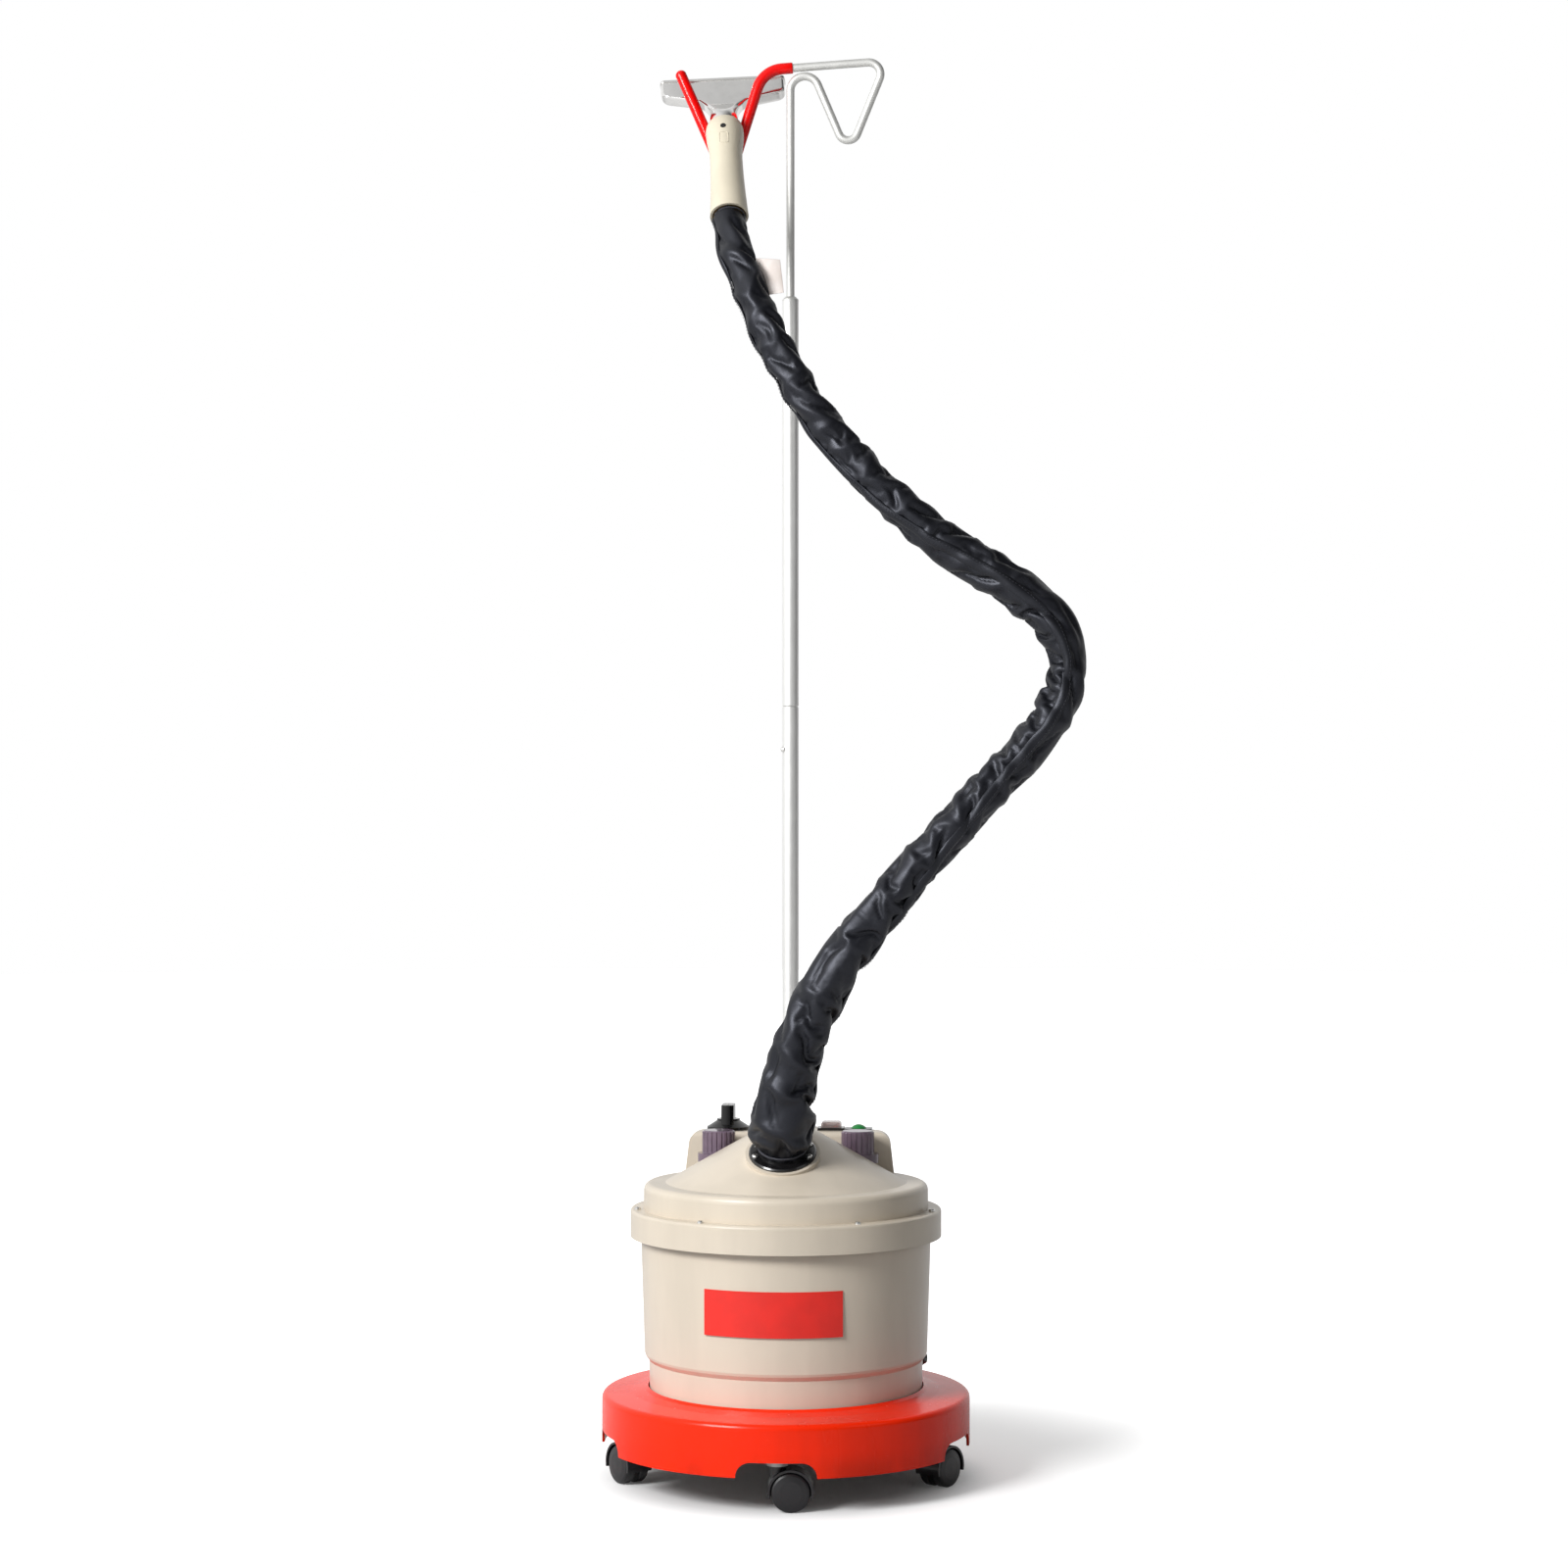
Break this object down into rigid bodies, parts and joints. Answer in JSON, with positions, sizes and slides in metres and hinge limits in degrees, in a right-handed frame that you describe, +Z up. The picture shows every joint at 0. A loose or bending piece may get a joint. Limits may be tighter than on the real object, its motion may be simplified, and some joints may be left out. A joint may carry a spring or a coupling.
{
  "type": "upright garment steamer",
  "caption": "Upright garment steamer: round boiler on a castor dolly, screw caps and control box, pole with bent hook, sleeved hose, chrome fish-tail steam head.",
  "frame": {"origin": "on the floor under the centre of the round dolly", "axes": "+Z up along the pole, -Y towards the front castor and the hose outlet, +X to the right seen from the front"},
  "size_m": [0.5444, 0.416, 1.631],
  "materials": {
    "red_shell": "glossy orange-red moulding",
    "red_panel": "plain glossy red badge, no print",
    "red_sleeve": "glossy red soft tube",
    "black_metal": "satin black powder coat",
    "black_plastic": "satin black",
    "beige_plastic": "semi-gloss warm beige moulding",
    "tyre_plastic": "satin black wheel",
    "zinc": "zinc-plated steel",
    "steel": "satin stainless steel",
    "alu": "satin anodised",
    "chrome": "polished chrome",
    "brass": "machined brass",
    "seal_rubber": "grey silicone",
    "black_rubber": "matt black rubber",
    "purple_plastic": "clear smoky purple moulding",
    "clear_plastic": "clear soft cover",
    "green_lens": "translucent green lens",
    "rocker_plastic": "glossy dark red key",
    "sleeve_cloth": "black woven nylon",
    "label_cloth": "bare white woven tape"
  },
  "bodies": {
    "root": {"base_cover": "red_shell", "base_chassis": "black_metal", "castor_sockets": "zinc", "base_screws": "zinc", "bucket": "beige_plastic", "name_panel": "red_panel", "cord_gland": "black_plastic", "heater_flange": "brass", "heating_element": "steel", "cutout_probe": "brass", "level_probe": "brass", "lid": "beige_plastic", "lid_gasket": "black_rubber", "collar_screws": "zinc", "filler_neck": "beige_plastic", "relief_neck": "beige_plastic", "outlet_ring": "black_plastic", "outlet_screws": "zinc", "outlet_pipe": "brass", "steam_hose": "black_rubber", "hose_sleeve": "sleeve_cloth", "care_label": "label_cloth", "control_box": "beige_plastic", "heat_regulator": "black_plastic", "rocker_bezel": "black_plastic", "switch_boot": "clear_plastic", "lamp_bezel": "black_plastic", "lamp_lens": "green_lens", "pole_socket": "black_plastic", "lower_tube": "alu", "joint_plug": "zinc", "button_spring": "zinc", "upper_tube": "alu", "rod_bush": "alu", "hook_rod": "alu", "cradle_sleeve": "red_sleeve"},
    "castor_front": {"castor_hood_1": "black_plastic"},
    "wheels_front": {"castor_wheels_1": "tyre_plastic"},
    "castor_right": {"castor_hood_2": "black_plastic"},
    "wheels_right": {"castor_wheels_2": "tyre_plastic"},
    "castor_rear_right": {"castor_hood_3": "black_plastic"},
    "wheels_rear_right": {"castor_wheels_3": "tyre_plastic"},
    "castor_rear_left": {"castor_hood_4": "black_plastic"},
    "wheels_rear_left": {"castor_wheels_4": "tyre_plastic"},
    "castor_left": {"castor_hood_5": "black_plastic"},
    "wheels_left": {"castor_wheels_5": "tyre_plastic"},
    "heat_dial": {"heat_dial": "black_plastic"},
    "power_rocker": {"power_rocker": "rocker_plastic"},
    "filler_seal": {"filler_seal": "seal_rubber"},
    "filler_cap": {"filler_cap": "purple_plastic"},
    "relief_seal": {"relief_seal": "seal_rubber"},
    "relief_cap": {"relief_cap": "purple_plastic"},
    "snap_button": {"snap_button": "zinc"},
    "handset": {"handle": "beige_plastic", "handle_screw": "black_metal", "steam_tube": "steel", "hose_coupling": "brass", "head_shell": "chrome", "head_plate": "chrome"}
  },
  "joints": [
    {"name": "front_swivel", "type": "hinge", "parent": "root", "child": "castor_front", "pos_m": [0, -0.175, 0.05], "axis": [0, 0, 1], "continuous": true},
    {"name": "front_roll", "type": "hinge", "parent": "castor_front", "child": "wheels_front", "pos_m": [0.01398, -0.17427, 0.0215], "axis": [-0.0523, 0.9986, 0], "continuous": true},
    {"name": "right_swivel", "type": "hinge", "parent": "root", "child": "castor_right", "pos_m": [0.16643, -0.05408, 0.05], "axis": [0, 0, 1], "continuous": true},
    {"name": "right_roll", "type": "hinge", "parent": "castor_right", "child": "wheels_right", "pos_m": [0.17446, -0.04261, 0.0215], "axis": [-0.8192, 0.5736, 0], "continuous": true},
    {"name": "rear_right_swivel", "type": "hinge", "parent": "root", "child": "castor_rear_right", "pos_m": [0.10286, 0.14158, 0.05], "axis": [0, 0, 1], "continuous": true},
    {"name": "rear_right_roll", "type": "hinge", "parent": "castor_rear_right", "child": "wheels_rear_right", "pos_m": [0.08971, 0.14637, 0.0215], "axis": [-0.342, -0.9397, 0], "continuous": true},
    {"name": "rear_left_swivel", "type": "hinge", "parent": "root", "child": "castor_rear_left", "pos_m": [-0.10286, 0.14158, 0.05], "axis": [0, 0, 1], "continuous": true},
    {"name": "rear_left_roll", "type": "hinge", "parent": "castor_rear_left", "child": "wheels_rear_left", "pos_m": [-0.08971, 0.14637, 0.0215], "axis": [-0.342, 0.9397, 0], "continuous": true},
    {"name": "left_swivel", "type": "hinge", "parent": "root", "child": "castor_left", "pos_m": [-0.16643, -0.05408, 0.05], "axis": [0, 0, 1], "continuous": true},
    {"name": "left_roll", "type": "hinge", "parent": "castor_left", "child": "wheels_left", "pos_m": [-0.17466, -0.04275, 0.0215], "axis": [-0.809, -0.5878, 0], "continuous": true},
    {"name": "dial_turn", "type": "hinge", "parent": "root", "child": "heat_dial", "pos_m": [-0.073, 0.107, 0.39], "axis": [0, 0, 1], "range_deg": [-270, 0]},
    {"name": "rocker_tilt", "type": "hinge", "parent": "root", "child": "power_rocker", "pos_m": [0.0475, 0.107, 0.383], "axis": [0, 1, 0], "range_deg": [-8, 8]},
    {"name": "filler_lift", "type": "slide", "parent": "root", "child": "filler_seal", "axis": [0, 0, 1], "range_m": [0, 0.0201]},
    {"name": "filler_unscrew", "type": "hinge", "parent": "filler_seal", "child": "filler_cap", "pos_m": [-0.08, 0.048, 0.36], "axis": [0, 0, 1], "range_deg": [0, 900]},
    {"name": "relief_lift", "type": "slide", "parent": "root", "child": "relief_seal", "axis": [0, 0, 1], "range_m": [0, 0.0201]},
    {"name": "relief_unscrew", "type": "hinge", "parent": "relief_seal", "child": "relief_cap", "pos_m": [0.08, 0.048, 0.36], "axis": [0, 0, 1], "range_deg": [0, 900]},
    {"name": "button_press", "type": "slide", "parent": "root", "child": "snap_button", "axis": [-0.8192, -0.5736, 0], "range_m": [-0.0035, 0], "stiffness_N_per_m": 600, "springref_m": 0.004},
    {"name": "handset_lift", "type": "slide", "parent": "root", "child": "handset", "axis": [0, 0, 1], "range_m": [0, 0.06]}
  ],
  "couplings": [
    {"joint": "filler_lift", "follows": "filler_unscrew", "m_per_rad": 0.0012732},
    {"joint": "relief_lift", "follows": "relief_unscrew", "m_per_rad": 0.0012732}
  ]
}
